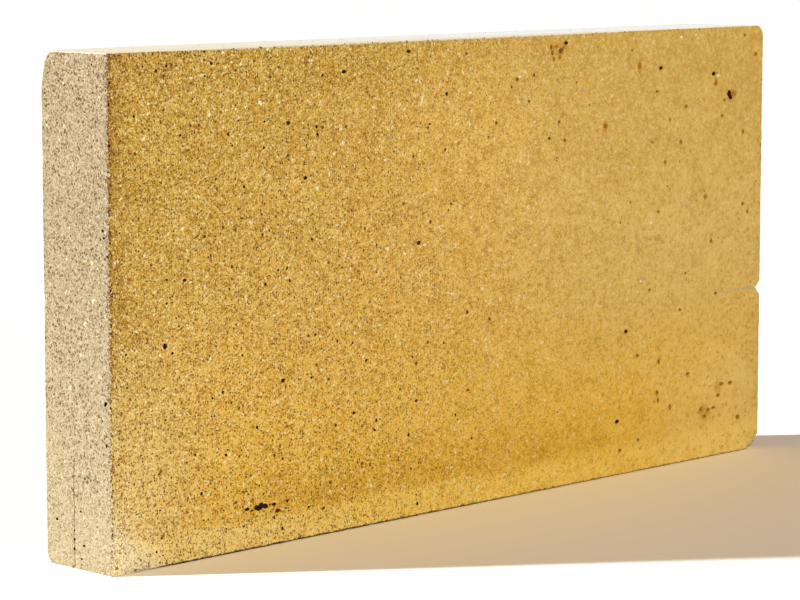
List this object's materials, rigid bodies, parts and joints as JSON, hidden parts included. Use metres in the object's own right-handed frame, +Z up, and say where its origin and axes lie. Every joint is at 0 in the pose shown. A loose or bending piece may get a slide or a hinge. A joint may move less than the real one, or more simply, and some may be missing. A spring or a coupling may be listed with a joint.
{
  "type": "refractory firebrick",
  "caption": "Thin rectangular fireclay brick with pitted golden faces, worn corners and a small edge notch, standing on its long narrow edge.",
  "frame": {"origin": "middle of the long narrow edge that the brick stands on, at the bottom of its box", "axes": "+X along the length, away from the cracked end face; +Y through the thickness, away from the big face with the cavities; +Z up the height"},
  "size_m": [0.25, 0.025, 0.125],
  "materials": {
    "fireclay": "dry matt fired clay, golden buff with grog grains and open pores"
  },
  "bodies": {
    "root": {"firebrick": "fireclay"}
  },
  "joints": []
}
